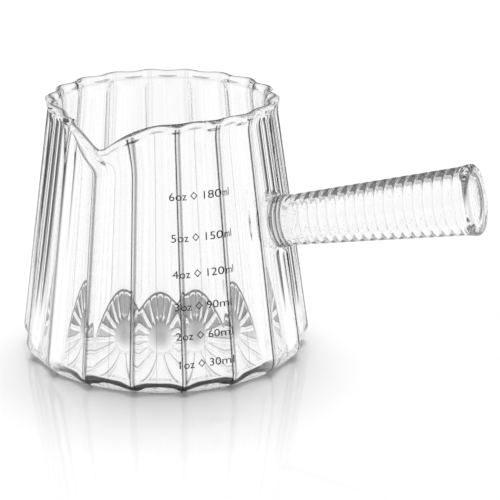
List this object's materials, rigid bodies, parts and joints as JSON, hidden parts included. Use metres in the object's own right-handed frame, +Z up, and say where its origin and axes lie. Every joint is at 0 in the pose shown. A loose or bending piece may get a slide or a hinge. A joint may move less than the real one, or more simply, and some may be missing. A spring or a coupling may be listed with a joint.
{
  "type": "espresso measuring cup",
  "caption": "Clear fluted glass measuring cup, wider at the base, with a drawn pouring lip, a ringed hollow side handle and a printed volume scale.",
  "frame": {"origin": "middle of the base on the table, on the axis of the cup", "axes": "+Z up along the cup's axis, +X out along the handle, -Y out through the spout"},
  "size_m": [0.1303, 0.0794, 0.072],
  "materials": {
    "cup_glass": "clear borosilicate, moulded outside and fire polished at the rim",
    "handle_glass": "clear borosilicate, ringed outside",
    "scale_print": "fired dark grey print"
  },
  "bodies": {
    "root": {"cup_body": "cup_glass", "handle_collar": "handle_glass", "handle_tube": "handle_glass", "handle_end": "handle_glass", "scale_marks": "scale_print"}
  },
  "joints": []
}
